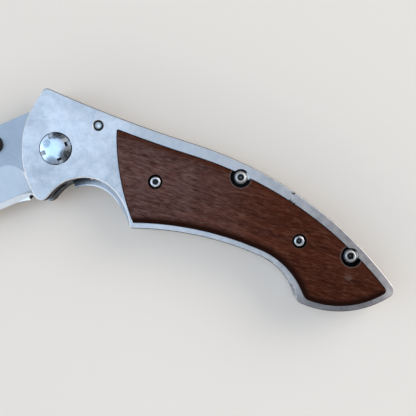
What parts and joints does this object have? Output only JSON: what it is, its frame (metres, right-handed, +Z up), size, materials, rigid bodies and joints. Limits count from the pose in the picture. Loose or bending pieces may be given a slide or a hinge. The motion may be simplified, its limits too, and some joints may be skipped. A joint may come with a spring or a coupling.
{
  "type": "folding pocket knife",
  "caption": "Folding pocket knife lying open on its side: satin steel frame with dark wooden inlays, drop-point blade on a domed pivot, thumb studs and a sprung liner lock.",
  "frame": {"origin": "bottom centre of the open knife's box, on the surface it lies on", "axes": "+X from the blade's tip towards the handle's butt, +Y towards the spine side of the handle, +Z up out of the front face"},
  "size_m": [0.1822, 0.0648, 0.0129],
  "materials": {
    "frame_steel": "tumbled satin",
    "dark_wood": "oiled",
    "screw_steel": "bright",
    "spring_steel": "satin",
    "polished_steel": "polished",
    "bronze": "plain",
    "blade_steel": "satin",
    "black_steel": "matt black"
  },
  "bodies": {
    "handle": {"front_frame": "frame_steel", "front_inlay": "dark_wood", "front_inlay_screws": "screw_steel", "front_body_screws": "screw_steel", "back_frame": "frame_steel", "back_inlay": "dark_wood", "back_inlay_screws": "screw_steel", "back_body_screws": "screw_steel", "lock_liner": "spring_steel", "backspacer": "spring_steel", "stop_pin": "screw_steel", "pivot_barrel": "polished_steel", "pivot_screw": "polished_steel", "front_washer": "bronze", "back_washer": "bronze"},
    "blade": {"blade": "blade_steel", "front_thumb_stud": "black_steel", "back_thumb_stud": "black_steel"},
    "lock_bar": {"lock_bar": "spring_steel", "detent_ball": "polished_steel"}
  },
  "joints": [
    {"name": "blade_pivot", "type": "hinge", "parent": "handle", "child": "blade", "pos_m": [-0.00711, 0.01492, 0.00703], "axis": [0, 0, 1], "range_deg": [0, 134]},
    {"name": "lock_bar_flex", "type": "hinge", "parent": "handle", "child": "lock_bar", "pos_m": [0.03589, -0.00708, 0.0046], "axis": [-0.2524, -0.9676, 0], "range_deg": [0, 2.22], "deforming": ["lock_bar", "detent_ball"]}
  ],
  "couplings": [
    {"joint": "lock_bar_flex", "follows": "blade_pivot", "ratio": 0.0165}
  ]
}
